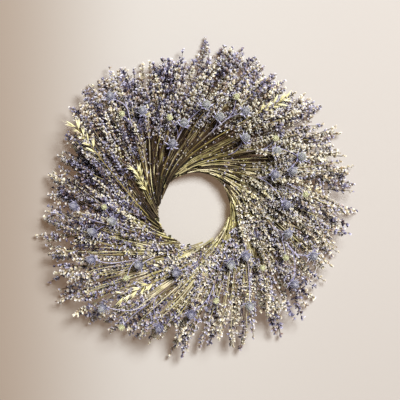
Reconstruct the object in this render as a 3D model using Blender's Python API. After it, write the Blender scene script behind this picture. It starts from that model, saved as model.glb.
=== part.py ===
"""A dried lavender wreath: twelve bunches of lavender, with sprays of sea holly and oats
on them, wound with wire onto a steel ring so that every stem leaves the ring on a slant.

Metres, +Z up, seen from -Y with its back to a wall at +Y. The origin is the underside of
the ring's top, where a nail carries the wreath. Angles run clockwise as seen from the
front, from the top of the ring, radii run out from its centre, and depths run back towards
the wall from the ring's own plane.
"""

import math
import random

import bmesh
import bpy
from mathutils import Vector

# Ring
RING_RADIUS = 0.075
RING_WIRE = 0.004
RING_SEGMENTS = 28
GAP = 0.0004

# Swirl: a stem leaves the hole's edge along it and straightens as it goes out, until it
# lies on a straight line that just touches a circle of SWIRL_RADIUS.
HOLE_RADIUS = 0.053
SWIRL_RADIUS = 0.074
SWIRL_EASE = SWIRL_RADIUS - HOLE_RADIUS
SWIRL_FIRST = 0.0560
SWIRL_LAST = 0.300
SWIRL_STEP = 0.00025

# Bunches: how far the furthest spikes of each one reach, from the first tie on clockwise.
REACHES = (0.268, 0.272, 0.255, 0.262, 0.255, 0.262, 0.276, 0.255, 0.278, 0.268, 0.274, 0.260)
BUNCHES = len(REACHES)
SECTOR = math.tau / BUNCHES
FIRST_TIE = math.radians(8)

# Neck of a bunch: the stems where the wire holds them side by side.
NECK_TAIL = 0.0660
NECK_END = 0.094
NECK_SHARE = 0.68
NECK_HALF_DEPTH = 0.0069
NECK_MIDDLE = -(RING_WIRE / 2 + GAP + NECK_HALF_DEPTH)
NECK_FRONT = NECK_MIDDLE - NECK_HALF_DEPTH
NECK_LENGTHS = 2
NECK_FLUTES = 6
FLUTE_DEPTH = 0.16
CUT_END = 0.0632
CUT_END_SPREAD = 0.0005
CUT_END_ROOT = NECK_TAIL + 0.003
CUT_END_LAYERS = (0.3, 0.7)

# Stems: they start inside the neck and fan out of it in layers.
STEM_RADIUS = 0.0014
ROOT_RADIUS = 0.080
ROOT_SPREAD = 0.6
FAN_START = 0.083
FAN_END = 0.250
BACK_RIM_DEPTH = -0.001
FRONT_RIM_DEPTH = -0.072
SECTOR_MARGIN = 0.0072
SIDE_SPREAD = 0.05
FIRST_SEED = 100

# One row for each layer, back to front: how far forward it lies, from 0 to 1, the share of
# the bunch's reach that its tips get to, how much shorter some of them stay, and where its
# stems stand across the sector, from -1 to 1.
LAYERS = (
    (0.00, 1.000, 0.016, (-0.95, -0.32, 0.30, 0.92)),
    (0.25, 0.960, 0.022, (-0.64, 0.00, 0.62)),
    (0.50, 0.880, 0.022, (-0.96, -0.20, 0.62)),
    (0.75, 0.775, 0.020, (-0.62, 0.30)),
    (1.00, 0.650, 0.016, (-0.30, 0.72)),
)

# Flower spike: whorls of florets, each whorl turned from the one below it. The front of the
# lavender is as thick as the stems up to BULGE_START, and as the spikes past BULGE_END.
SPIKE_LENGTH = 0.054
SPIKE_RADIUS = 0.0062
SPIKE_CORE = 0.0017
WHORL_SIZES = (0.78, 1.0, 0.96, 0.74)
WHORL_FLARE = 0.62
FLORETS = 3
BASE_STEP = 0.001
BULGE_START = 0.088
BULGE_END = 0.100

# Sea holly: a branched stem with egg-shaped heads, each on a ruff of narrow bracts, and
# with small buds that have none. A head faces partly outwards and partly to the front.
HOLLY_STEM = 0.0012
TWIG = 0.0010
HOLLY_LIFT = 0.009
STEM_SHORT_OF_HEAD = 0.018
FIRST_FORK = 0.092
FORK_SLANT = 0.6
FACING_OUT = 0.55
FACING_FRONT = 0.83
HEAD_LENGTH = 0.0150
HEAD_RADIUS = 0.0064
HEAD_FOOT = 0.0012
HEAD_ROOT = 0.003
HEAD_ROWS = ((0.26, 1.0), (0.68, 0.84))
RIDGE_DEPTH = 0.14
BRACTS = 5
BRACT_REACH = 0.0155
BRACT_RISE = 0.0050
BRACT_NOTCH = 0.0042
NOTCH_RISE = 0.0010
BUD_RADIUS = 0.0042
BUD_SIDES = 5

# Oats: pointed spikelets on either side of a stalk.
SPIKELETS = 5
SPIKELET_LENGTH = 0.017
SPIKELET_RADIUS = 0.0026
SPIKELET_WIDEST = 0.4
SPIKELET_ROOT = 0.0015
SPIKELET_ASIDE = 0.55
SPIKELET_FRONT = 0.45

# Accent stems: rods with three sides, which reach only FACET times their radius to the
# front and the back. They lie straight on the neck and follow the lavender past it.
FACET = math.cos(math.pi / 6)
TIED_DEPTH = NECK_FRONT - GAP - FACET * HOLLY_STEM
TIED_FROM = 0.0685
TIED_TO = 0.0820
OVER_START = 0.090
OVER_STEP = 0.024

# Binding wire, which is wound over the stems of the sea holly and the oats as well.
WIRE_RADIUS = 0.0006
TURN_PITCH = 0.0018
WIRE_FRONT = TIED_DEPTH - GAP - FACET * HOLLY_STEM - WIRE_RADIUS
WIRE_BACK = RING_WIRE / 2 + GAP + WIRE_RADIUS
WIRE_FRONT_HALF = 0.0040
WIRE_BACK_HALF = 0.0017
WIRE_SIDE_HALF = 0.004

GOLDEN_TURN = math.pi * (3 - math.sqrt(5))

# One row for each spray of sea holly: its bunch, where it is tied across the neck, the
# radius and the place across the sector of each head, and those of each bud.
HOLLY_SPRAYS = (
    (0, 0.0, ((0.135, -0.020), (0.157, 0.013), (0.188, 0.030)), ((0.170, -0.008),)),
    (1, 0.0, ((0.137, -0.016), (0.166, -0.032), (0.146, 0.025)), ((0.180, 0.000),)),
    (2, 0.0, ((0.156, -0.009), (0.209, -0.016), (0.205, 0.038)), ((0.170, 0.020),)),
    (3, 0.0, ((0.116, 0.009), (0.185, 0.020)), ((0.150, -0.014),)),
    (4, 0.0, ((0.112, -0.014), (0.177, 0.024)), ((0.160, -0.008),)),
    (5, -0.0022, ((0.113, 0.011), (0.209, -0.040), (0.226, 0.048)), ((0.236, 0.004),)),
    (6, 0.0, ((0.134, -0.005), (0.190, 0.020)), ((0.165, -0.022),)),
    (7, 0.0, ((0.138, 0.004), (0.174, -0.024), (0.198, 0.008)), ((0.150, 0.022),)),
    (9, 0.0024, ((0.175, 0.018), (0.226, -0.030)), ((0.192, -0.016),)),
    (10, 0.0, ((0.106, 0.004), (0.134, 0.012), (0.163, 0.036)), ((0.150, -0.014),)),
    (11, -0.0022, ((0.148, -0.010), (0.172, 0.012)), ((0.190, -0.016),)),
)
# One row for each spray of oats: its bunch, where it is tied, where its tip lies across
# the sector, and the radii of its first and last spikelets.
OAT_SPRAYS = (
    (5, 0.0022, 0.040, 0.150, 0.196),
    (8, 0.0, 0.012, 0.190, 0.240),
    (9, -0.0024, -0.014, 0.087, 0.117),
    (11, 0.0024, 0.040, 0.190, 0.234),
)


def lean(radius):
    """The angle between the stems and the outward radius, at this radius."""
    ease = math.exp((HOLE_RADIUS - radius) / SWIRL_EASE)
    return math.asin((SWIRL_RADIUS - SWIRL_EASE * ease) / radius)


def swirl_table():
    """How far round the ring a stem has gone at each radius, counted from the ring."""
    table = []
    turned = 0.0
    for i in range(round((SWIRL_LAST - SWIRL_FIRST) / SWIRL_STEP) + 1):
        table.append(turned)
        middle = SWIRL_FIRST + (i + 0.5) * SWIRL_STEP
        turned += math.tan(lean(middle)) / middle * SWIRL_STEP
    at_ring = table[round((RING_RADIUS - SWIRL_FIRST) / SWIRL_STEP)]
    return [value - at_ring for value in table]


SWIRL = swirl_table()


def turn(radius):
    place = (radius - SWIRL_FIRST) / SWIRL_STEP
    below = int(place)
    return SWIRL[below] + (place - below) * (SWIRL[below + 1] - SWIRL[below])


def half_width(radius):
    """Half the room that a bunch has between its neighbours, square to its stems."""
    return 0.5 * SECTOR * radius * math.cos(lean(radius))


def on_stream(bunch, radius, across, depth):
    """A point of the fan: across is the distance from the bunch's middle stem."""
    aside = across / (radius * math.cos(lean(radius)))
    angle = FIRST_TIE + bunch * SECTOR + turn(radius) + aside
    return Vector((radius * math.sin(angle), depth, radius * math.cos(angle)))


def near_neck(bunch, radius, across, depth, along=0.0):
    """A point beside the bunch's middle stem, measured square to it."""
    here = on_stream(bunch, radius, 0, 0)
    forward = (on_stream(bunch, radius + 0.0005, 0, 0) - here).normalized()
    aside = Vector((0, 1, 0)).cross(forward)
    return here + aside * across + forward * along + Vector((0, depth, 0))


def layer_depth(forward, radius):
    """The depth of a stem whose layer lies this far forward."""
    neck = NECK_MIDDLE + (1 - 2 * forward) * (NECK_HALF_DEPTH - STEM_RADIUS)
    rim = BACK_RIM_DEPTH + forward * (FRONT_RIM_DEPTH - BACK_RIM_DEPTH)
    share = max(0.0, (radius - FAN_START) / (FAN_END - FAN_START))
    return neck + (rim - neck) * share


def front_depth(bunch, radius):
    """How far forward the lavender reaches at this radius: a dome over the layers' tips."""
    bulge = min(1.0, max(0.0, (radius - BULGE_START) / (BULGE_END - BULGE_START)))
    skin = STEM_RADIUS + bulge * (SPIKE_RADIUS - STEM_RADIUS)
    tips = [(share * REACHES[bunch], forward) for forward, share, _, _ in reversed(LAYERS)]
    near, forward = tips[0]
    if radius <= near:
        return layer_depth(forward, radius) - skin
    for far, behind in tips[1:]:
        if radius <= far:
            part = (radius - near) / (far - near)
            low = layer_depth(forward, near)
            return low + (layer_depth(behind, far) - low) * part - skin
        near, forward = far, behind
    return layer_depth(forward, near) - skin


def square_frame(direction):
    """Two directions square to this one and to each other."""
    first = direction.cross(Vector((0, 1, 0))).normalized()
    return first, direction.cross(first).normalized()


def ring_of(centre, direction, sizes, turned=0.0):
    """Points round a centre, one at each of these distances from it."""
    one, two = square_frame(direction)
    points = []
    for i, size in enumerate(sizes):
        angle = turned + math.tau * i / len(sizes)
        points.append(centre + (one * math.cos(angle) + two * math.sin(angle)) * size)
    return points


def skin(mesh, rings, low=None, high=None):
    """Joins rings of points into one closed skin, with flat ends or with pointed ones."""
    rows = [[mesh.verts.new(point) for point in ring] for ring in rings]
    sides = len(rows[0])
    for near, far in zip(rows, rows[1:]):
        for i in range(sides):
            j = (i + 1) % sides
            mesh.faces.new((near[i], near[j], far[j], far[i]))
    for row, point in ((rows[0][::-1], low), (rows[-1], high)):
        if point is None:
            mesh.faces.new(row)
            continue
        tip = mesh.verts.new(point)
        for i in range(sides):
            mesh.faces.new((row[i], row[(i + 1) % sides], tip))


def rod(mesh, points, radius):
    """A three-sided rod along these points."""
    rings = []
    for i, point in enumerate(points):
        before = points[max(i - 1, 0)]
        after = points[min(i + 1, len(points) - 1)]
        rings.append(ring_of(point, (after - before).normalized(), [radius] * 3))
    skin(mesh, rings)


def solid(name, build, *values):
    """A closed object, made by a function that fills its mesh."""
    mesh = bmesh.new()
    build(mesh, *values)
    bmesh.ops.recalc_face_normals(mesh, faces=mesh.faces)
    bmesh.ops.triangulate(mesh, faces=mesh.faces)
    data = bpy.data.meshes.new(name)
    mesh.to_mesh(data)
    mesh.free()
    made = bpy.data.objects.new(name, data)
    bpy.context.scene.collection.objects.link(made)
    return made


def fused(body, pieces):
    """The body with the pieces joined to it in one solid."""
    group = bpy.data.collections.new(body.name + "_pieces")
    bpy.context.scene.collection.children.link(group)
    for piece in pieces:
        bpy.context.scene.collection.objects.unlink(piece)
        group.objects.link(piece)
    join = body.modifiers.new("join", "BOOLEAN")
    join.operation = "UNION"
    join.operand_type = "COLLECTION"
    join.collection = group
    join.solver = "EXACT"
    bpy.context.view_layer.update()
    graph = bpy.context.evaluated_depsgraph_get()
    joined = bpy.data.meshes.new_from_object(body.evaluated_get(graph))
    body.modifiers.clear()
    body.data = joined
    for piece in pieces:
        bpy.data.objects.remove(piece)
    bpy.data.collections.remove(group)
    return body


def finish(piece, colour, roughness, metallic=0.0):
    """Gives a piece its own material."""
    material = bpy.data.materials.new(piece.name)
    material.use_nodes = True
    shader = material.node_tree.nodes["Principled BSDF"]
    shader.inputs["Base Color"].default_value = (*colour, 1)
    shader.inputs["Roughness"].default_value = roughness
    shader.inputs["Metallic"].default_value = metallic
    piece.data.materials.clear()
    piece.data.materials.append(material)
    return piece


def steel_ring():
    bpy.ops.mesh.primitive_torus_add(
        major_radius=RING_RADIUS,
        minor_radius=RING_WIRE / 2,
        major_segments=RING_SEGMENTS,
        minor_segments=6,
        rotation=(math.pi / 2, 0, 0),
    )
    ring = bpy.context.object
    ring.name = "ring"
    ring.data.shade_smooth()
    return finish(ring, (0.16, 0.14, 0.12), 0.5, 1.0)


def neck(mesh, bunch):
    """The stems where they lie side by side: a fluted rod along the hole's edge."""
    rings = []
    for i in range(NECK_LENGTHS + 1):
        radius = NECK_TAIL + (NECK_END - NECK_TAIL) * i / NECK_LENGTHS
        wide = NECK_SHARE * half_width(radius)
        ring = []
        for k in range(2 * NECK_FLUTES):
            angle = math.pi * k / NECK_FLUTES
            size = 1 - FLUTE_DEPTH * ((k + 1) % 2)
            across = wide * size * math.cos(angle)
            depth = NECK_MIDDLE + NECK_HALF_DEPTH * size * math.sin(angle)
            ring.append(near_neck(bunch, radius, across, depth))
        rings.append(ring)
    skin(mesh, rings)


def stem_end(mesh, bunch, depth, start):
    """A cut stem end that sticks out of the neck's tail."""
    rod(mesh, [near_neck(bunch, r, 0, depth) for r in (start, CUT_END_ROOT)], STEM_RADIUS)


def fan_point(bunch, side, forward, radius):
    across = side * (half_width(radius) - SECTOR_MARGIN)
    return on_stream(bunch, radius, across, layer_depth(forward, radius))


def lavender_stem(mesh, bunch, side, forward, reach, turned):
    """A stem and its spike in one skin, from inside the neck to the tip."""
    tip = fan_point(bunch, side, forward, reach)
    base_radius = reach
    while (fan_point(bunch, side, forward, base_radius) - tip).length < SPIKE_LENGTH:
        base_radius -= BASE_STEP
    base = fan_point(bunch, side, forward, base_radius)
    root = near_neck(
        bunch,
        ROOT_RADIUS,
        side * ROOT_SPREAD * NECK_SHARE * half_width(ROOT_RADIUS),
        NECK_MIDDLE + (1 - 2 * forward) * ROOT_SPREAD * NECK_HALF_DEPTH,
    )
    rings = [ring_of(root, (base - root).normalized(), [STEM_RADIUS] * FLORETS, turned)]
    axis = (tip - base).normalized()
    twist = math.pi / FLORETS
    for i, size in enumerate(WHORL_SIZES):
        low = base.lerp(tip, i / len(WHORL_SIZES))
        high = base.lerp(tip, (i + WHORL_FLARE) / len(WHORL_SIZES))
        facing = turned + twist * i
        rings.append(ring_of(low, axis, [SPIKE_CORE] * FLORETS, facing - twist / 2))
        rings.append(ring_of(high, axis, [SPIKE_RADIUS * size] * FLORETS, facing))
    skin(mesh, rings, high=tip)


def lavender_bunch(bunch):
    draw = random.Random(FIRST_SEED + bunch)
    pieces = []
    for forward, share, shorter, sides in LAYERS:
        for side in sides:
            side = max(-1.0, min(1.0, side + draw.uniform(-SIDE_SPREAD, SIDE_SPREAD)))
            reach = share * REACHES[bunch] - draw.uniform(0, shorter)
            turned = draw.uniform(0, math.tau)
            pieces.append(
                solid("stem", lavender_stem, bunch, side, forward, reach, turned)
            )
    for forward in CUT_END_LAYERS:
        depth = NECK_MIDDLE + (1 - 2 * forward) * NECK_HALF_DEPTH
        start = CUT_END + draw.uniform(-CUT_END_SPREAD, CUT_END_SPREAD)
        pieces.append(solid("end", stem_end, bunch, depth, start))
    body = fused(solid(f"bunch_{bunch + 1:02d}", neck, bunch), pieces)
    return finish(body, (0.29, 0.26, 0.34), 0.9)


def over_bunch(bunch, slot, across, last, radius):
    """A point of an accent's stem, which lies over the lavender on the front of a bunch."""
    share = (radius - FAN_START) / (last - FAN_START)
    depth = min(TIED_DEPTH, front_depth(bunch, radius) - GAP - 2 * HOLLY_STEM)
    return on_stream(bunch, radius, slot + (across - slot) * share, depth)


def accent_stem(mesh, bunch, slot, across, last, radius):
    """A stem tied on the front of the neck, under the wire, that runs on over the bunch."""
    tied = (TIED_FROM, RING_RADIUS, TIED_TO)
    points = [near_neck(bunch, r, slot, TIED_DEPTH) for r in tied]
    steps = math.ceil((last - OVER_START) / OVER_STEP)
    for i in range(steps + 1):
        here = OVER_START + (last - OVER_START) * i / steps
        points.append(over_bunch(bunch, slot, across, last, here))
    rod(mesh, points, radius)


def holly_head(mesh, base, axis, turned):
    """A ridged egg of tiny florets and the pointed bracts below it, in one skin."""
    ridges = 2 * BRACTS
    star = ring_of(base + axis * NOTCH_RISE, axis, [BRACT_NOTCH] * ridges, turned)
    tips = ring_of(base + axis * BRACT_RISE, axis, [BRACT_REACH] * ridges, turned)
    ruff = [star[i] if i % 2 else tips[i] for i in range(ridges)]
    rings = [ruff]
    for share, size in HEAD_ROWS:
        sizes = [HEAD_RADIUS * size * (1 - RIDGE_DEPTH * (i % 2)) for i in range(ridges)]
        rings.append(ring_of(base + axis * HEAD_LENGTH * share, axis, sizes, turned))
    skin(mesh, rings, low=base - axis * HEAD_FOOT, high=base + axis * HEAD_LENGTH)


def holly_bud(mesh, base, axis):
    middle = ring_of(base + axis * BUD_RADIUS, axis, [BUD_RADIUS] * BUD_SIDES)
    skin(mesh, [middle], low=base, high=base + axis * 2 * BUD_RADIUS)


def holly_spray(number, bunch, slot, heads, buds):
    across = sum(side for _, side in heads) / len(heads)
    last = max(radius for radius, _ in heads) - STEM_SHORT_OF_HEAD
    stem = solid(
        f"sea_holly_{number:02d}", accent_stem, bunch, slot, across, last, HOLLY_STEM
    )
    pieces = []
    for i, (radius, side) in enumerate(heads + buds):
        base = on_stream(bunch, radius, side, front_depth(bunch, radius) - HOLLY_LIFT)
        outward = (on_stream(bunch, radius + BASE_STEP, side, base.y) - base).normalized()
        axis = (outward * FACING_OUT + Vector((0, -FACING_FRONT, 0))).normalized()
        leave = radius - STEM_SHORT_OF_HEAD - FORK_SLANT * abs(side - across)
        leave = min(last, max(FIRST_FORK, leave))
        fork = over_bunch(bunch, slot, across, last, leave)
        pieces.append(solid("twig", rod, [fork, base + axis * HEAD_ROOT], TWIG))
        if i < len(heads):
            turned = GOLDEN_TURN * (number * BRACTS + i)
            pieces.append(solid("head", holly_head, base, axis, turned))
        else:
            pieces.append(solid("bud", holly_bud, base, axis))
    return finish(fused(stem, pieces), (0.36, 0.36, 0.44), 0.8)


def oat_spikelet(mesh, root, way):
    centre = root + way * SPIKELET_LENGTH * SPIKELET_WIDEST
    middle = ring_of(centre, way, [SPIKELET_RADIUS] * 3)
    skin(mesh, [middle], low=root, high=root + way * SPIKELET_LENGTH)


def oat_spray(number, bunch, slot, across, first, last):
    stalk = solid(f"oat_{number:02d}", accent_stem, bunch, slot, across, last, TWIG)
    pieces = []
    for i in range(SPIKELETS):
        radius = first + (last - first) * i / (SPIKELETS - 1)
        root = over_bunch(bunch, slot, across, last, radius)
        along = over_bunch(bunch, slot, across, last, radius + BASE_STEP) - root
        along.normalize()
        aside = Vector((0, 1, 0)).cross(along) * (1 if i % 2 else -1)
        way = along + aside * SPIKELET_ASIDE + Vector((0, -SPIKELET_FRONT, 0))
        way.normalize()
        pieces.append(solid("spikelet", oat_spikelet, root - way * SPIKELET_ROOT, way))
    return finish(fused(stalk, pieces), (0.55, 0.52, 0.28), 0.75)


def binding_wire():
    """One wire round the whole ring: a turn about each neck, then on behind the ring."""
    side = half_width(RING_RADIUS) - GAP - WIRE_RADIUS
    round_neck = (
        (-WIRE_BACK_HALF, WIRE_BACK),
        (WIRE_BACK_HALF, WIRE_BACK),
        (side, NECK_MIDDLE + WIRE_SIDE_HALF),
        (side, NECK_MIDDLE - WIRE_SIDE_HALF),
        (WIRE_FRONT_HALF, WIRE_FRONT),
        (-WIRE_FRONT_HALF, WIRE_FRONT),
        (-side, NECK_MIDDLE - WIRE_SIDE_HALF),
        (-side, NECK_MIDDLE + WIRE_SIDE_HALF),
        (-WIRE_BACK_HALF, WIRE_BACK),
    )
    points = []
    for bunch in range(BUNCHES):
        for i, (across, depth) in enumerate(round_neck):
            along = TURN_PITCH * (i / (len(round_neck) - 1) - 0.5)
            points.append(near_neck(bunch, RING_RADIUS, across, depth, along))
    route = bpy.data.curves.new("binding_wire", "CURVE")
    route.dimensions = "3D"
    route.bevel_depth = WIRE_RADIUS
    route.bevel_resolution = 0
    line = route.splines.new("POLY")
    line.points.add(len(points) - 1)
    for spot, point in zip(line.points, points):
        spot.co = (*point, 1)
    line.use_cyclic_u = True
    wire = bpy.data.objects.new("binding_wire", route)
    bpy.context.scene.collection.objects.link(wire)
    return finish(wire, (0.20, 0.24, 0.14), 0.45, 1.0)


def main():
    for old in list(bpy.data.objects):
        bpy.data.objects.remove(old)
    made = [steel_ring(), binding_wire()]
    made += [lavender_bunch(bunch) for bunch in range(BUNCHES)]
    made += [holly_spray(i + 1, *row) for i, row in enumerate(HOLLY_SPRAYS)]
    made += [oat_spray(i + 1, *row) for i, row in enumerate(OAT_SPRAYS)]
    centre = bpy.data.objects.new("ring_centre", None)
    centre.location.z = RING_WIRE / 2 - RING_RADIUS
    bpy.context.scene.collection.objects.link(centre)
    for piece in made:
        piece.parent = centre


main()
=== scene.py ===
"""A dried lavender wreath on a wall: lavender bound in bunches onto a wire ring so that its
stems swirl clockwise, with sprays of sea holly and oats on its front.

Metres, +Z up, seen from -Y. Angles run clockwise as seen from the front, from the top of
the ring, radii run out from the ring's centre, and a depth is a place along Y.
"""
import math
import random

import bmesh
import bpy
from mathutils import Matrix, Vector


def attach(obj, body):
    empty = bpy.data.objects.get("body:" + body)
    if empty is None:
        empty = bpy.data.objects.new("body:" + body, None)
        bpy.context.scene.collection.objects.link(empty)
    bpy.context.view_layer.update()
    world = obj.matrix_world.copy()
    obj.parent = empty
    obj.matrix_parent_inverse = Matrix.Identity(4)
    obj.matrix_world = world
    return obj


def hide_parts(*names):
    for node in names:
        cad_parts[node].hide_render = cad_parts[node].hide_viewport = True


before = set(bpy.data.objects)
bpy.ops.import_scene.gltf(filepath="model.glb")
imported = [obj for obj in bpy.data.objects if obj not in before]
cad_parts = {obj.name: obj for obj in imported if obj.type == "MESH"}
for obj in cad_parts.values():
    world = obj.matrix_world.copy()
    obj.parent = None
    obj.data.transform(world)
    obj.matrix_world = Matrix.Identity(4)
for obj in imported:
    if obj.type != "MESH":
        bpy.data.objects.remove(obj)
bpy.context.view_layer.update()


# Steel ring
# A hoop of 4 mm drawn steel wire, 150 mm across, welded shut. Every bunch is bound to its
# front. It is smooth, and has dulled and spotted a little indoors.
RING_RADIUS = 0.075
RING_WIRE = 0.004
RING_SIDES = 12
RING_STEPS = 144
SPOT_SCALE = 260
SPOT_EDGE = (0.52, 0.68)
BARE_ROUGHNESS = 0.36
SPOT_ROUGHNESS = 0.75
RING_CENTRE = Vector((0, 0, RING_WIRE / 2 - RING_RADIUS))


def colour(red, green, blue):
    """A colour in linear light, from values of 0 to 255 as a screen shows them."""
    return tuple(((value / 255 + 0.055) / 1.055) ** 2.4 for value in (red, green, blue)) + (1.0,)


def put(tree, socket, value):
    """Links an output to a socket, or sets the socket to a plain value."""
    if isinstance(value, bpy.types.NodeSocket):
        tree.links.new(value, socket)
    else:
        socket.default_value = value


def add(tree, kind, inputs, **settings):
    """A new node, with its inputs linked or set."""
    node = tree.nodes.new(kind)
    for name, value in settings.items():
        setattr(node, name, value)
    for name, value in inputs.items():
        put(tree, node.inputs[name], value)
    return node


def mixed(tree, share, one, two, way="MIX"):
    """Two colours mixed by this share of the second one. The node's sockets are found by
    number, because those for numbers, vectors and colours have the same names."""
    node = tree.nodes.new("ShaderNodeMix")
    node.data_type = "RGBA"
    node.blend_type = way
    for place, value in ((0, share), (6, one), (7, two)):
        put(tree, node.inputs[place], value)
    return node.outputs[2]


def ranged(tree, value, low, high, first=0.0, last=1.0):
    """A value that goes from first to last as the input goes from low to high."""
    inputs = {"Value": value, "From Min": low, "From Max": high, "To Min": first, "To Max": last}
    return add(tree, "ShaderNodeMapRange", inputs).outputs["Result"]


def noise(tree, scale, detail=2.0):
    """A cloudy value that is fixed to the piece, with about this many clouds to a metre."""
    place = add(tree, "ShaderNodeTexCoord", {}).outputs["Object"]
    inputs = {"Vector": place, "Scale": scale, "Detail": detail}
    return add(tree, "ShaderNodeTexNoise", inputs).outputs["Fac"]


def new_material(name, roughness, metallic=0.0):
    material = bpy.data.materials.new(name)
    material.use_nodes = True
    shader = material.node_tree.nodes["Principled BSDF"]
    shader.inputs["Roughness"].default_value = roughness
    shader.inputs["Metallic"].default_value = metallic
    return material, material.node_tree, shader


def new_object(name, data, *materials):
    made = bpy.data.objects.new(name, data)
    bpy.context.scene.collection.objects.link(made)
    for material in materials:
        made.data.materials.append(material)
    return made


def mesh_of(shape, name, smooth=False):
    """The mesh of a finished bmesh, which is freed."""
    for face in shape.faces:
        face.smooth = smooth
    data = bpy.data.meshes.new(name)
    shape.to_mesh(data)
    shape.free()
    return data


STEEL_GREY = colour(118, 113, 106)
SPOT_BROWN = colour(84, 62, 46)

steel, tree, shader = new_material("dulled steel", BARE_ROUGHNESS, metallic=1.0)
spots = ranged(tree, noise(tree, SPOT_SCALE, detail=4.0), *SPOT_EDGE)
dulled = ranged(tree, spots, 0.0, 1.0, BARE_ROUGHNESS, SPOT_ROUGHNESS)
put(tree, shader.inputs["Base Color"], mixed(tree, spots, STEEL_GREY, SPOT_BROWN))
put(tree, shader.inputs["Roughness"], dulled)

hoop = bmesh.new()
bmesh.ops.create_circle(
    hoop,
    radius=RING_WIRE / 2,
    segments=RING_SIDES,
    matrix=Matrix.Translation(RING_CENTRE + Vector((RING_RADIUS, 0, 0))),
)
bmesh.ops.spin(
    hoop,
    geom=hoop.verts[:] + hoop.edges[:],
    cent=RING_CENTRE,
    axis=(0, 1, 0),
    angle=math.tau,
    steps=RING_STEPS,
    use_merge=True,
)
bmesh.ops.recalc_face_normals(hoop, faces=hoop.faces)
ring = new_object("steel_ring", mesh_of(hoop, "steel_ring", smooth=True), steel)
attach(ring, "root")
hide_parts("ring")


# Lavender stems
# Each of the twelve bunches has 128 dried stems, thin and square, brown to straw. They lie
# in a few strands where the wire holds them to the ring, with cut ends at the hole's edge,
# and fan out from there in layers, the short ones in front.

# A stem's straight part, drawn on inwards, would pass the ring's centre at SWIRL_RADIUS.
# Nearer the hole the stems bend in, as if to touch a circle of HOLE_RADIUS.
HOLE_RADIUS = 0.053
SWIRL_RADIUS = 0.074
SWIRL_EASE = SWIRL_RADIUS - HOLE_RADIUS
SWIRL_FIRST = 0.0560
SWIRL_LAST = 0.300
SWIRL_STEP = 0.00025
# How far out each bunch reaches, which sets the dome over its front. RIM sets its tips.
REACHES = (0.268, 0.272, 0.255, 0.262, 0.255, 0.262, 0.276, 0.255, 0.278, 0.268, 0.274, 0.260)
BUNCHES = len(REACHES)
SECTOR = math.tau / BUNCHES
# The angle where the first bunch is tied.
FIRST_TIE = math.radians(8)
# The neck is the part of a bunch that is tied on. It lies this far off the ring and off what
# is laid on it, and its outermost stems' middle lines lie NECK_EDGE inside its surface.
CLEARANCE = 0.0004
NECK_HALF_DEPTH = 0.0069
NECK_MIDDLE = -(RING_WIRE / 2 + CLEARANCE + NECK_HALF_DEPTH)
NECK_EDGE = 0.0014
# The shares of the room between its neighbours that a bunch takes at its neck and its rim.
NECK_SHARE = 0.80
FAN_SHARE = 0.98
# The radii where the layers part and where they are fully apart, and their depths there.
FAN_START = 0.083
FAN_END = 0.250
BACK_RIM_DEPTH = -0.001
FRONT_RIM_DEPTH = -0.072
# The radius where the stems start to spread from side to side, and over which they do.
SPREAD_START = 0.074
SPREAD_LENGTH = 0.070
SPREAD_EASE = 0.8
# The layers from the front to the back: how far forward each one lies, and the share of the
# bunch's reach that its tips get to.
DOME = ((1.00, 0.650), (0.75, 0.775), (0.50, 0.880), (0.25, 0.960), (0.00, 1.000))
# The same dome as a curve: a tip falls short of the rim by this slope and this bend.
DOME_SLOPE = 0.06
DOME_BEND = 0.29
# How far the fans of the photo lean off the even swirl, from the first tie on clockwise, in
# radians at the rim, and how unevenly their stems do. A few stems stray farther.
SWINGS = (-0.10, 0.06, -0.10, -0.06, 0.06, 0.06, 0.10, 0.09, -0.05, 0.0, 0.08, -0.03)
SWING_START = 0.088
SWING_EASE = 0.060
SWING_SCATTER = 0.045
STRAY_SHARE = 0.06
STRAY_SCATTER = 0.14

STEM_SEED = 40
STEMS = 128
# Each stem follows this many points, the last ones at these shares of its spike, and the
# others closer together at the neck.
STEM_POINTS = 12
INTO_SPIKE = (0.35, 0.92)
SPANS = STEM_POINTS - len(INTO_SPIKE) - 1
POINT_EASE = 1.3
STEM_RADIUS = 0.0010
GIRTHS = (0.55, 1.20)
# The stems gather in strands, each with its own place from side to side and its own height.
STRANDS = 6
STRAND_SPREAD = 0.92
STRAND_ASIDE = 0.09
STRAND_RAISE = 0.0025
STRAND_PULL = 0.7
SIDE_PULL = 0.3
# How unevenly the stems lie across the bunch, between the strands, at the neck and in depth,
# and how far they bow to a side and lift towards the tip.
SIDE_SCATTER = 0.05
STRAND_SCATTER = 0.45
TIED_SCATTER = 0.12
DEPTH_SCATTER = 0.16
BOW_SCATTER = 0.0065
LIFT_SCATTER = 0.0020
# How far forward a stem may lie, and by how much the innermost ones differ from the front.
FORWARD_LIMITS = (0.12, 1.03)
INNER_FORWARD = (-0.12, 0.03)
# Some stems are laid over the front, a little higher towards the tip, and some over the neck.
LAID_FROM = 0.160
LAID_RISE = 0.004
OVER_SHARE = 0.20
OVER_HEIGHTS = (0.0020, 0.0055)
OVER_EASE = (0.078, 0.120)
# Brown and pale stems, and how dark the hindmost ones are painted: shade that stands for the
# shadow deep in the bunch.
PALE_SHARE = 0.28
PALER_STRAND = 0.30
PALE_TONES = (0.56, 1.00)
BROWN_TONES = (0.02, 0.40)
PAINTED_BACK_SHADE = 0.3
# The radii of the cut ends, and of the few longer ones.
CUT_ENDS = (0.0600, 0.0690)
LONG_END_SHARE = 0.12
LONGEST_END = 0.0568
END_MARGIN = 0.0005
# The lengths of the spikes at the tips, how they tilt, how far back they may lie, and the
# radius that they start outside of.
SPIKE_LENGTHS = (0.040, 0.068)
SPIKE_TILT = 0.17
SPIKE_BACK = -0.002
SPIKE_START = 0.072
SPIKE_STEP = 0.001
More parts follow.
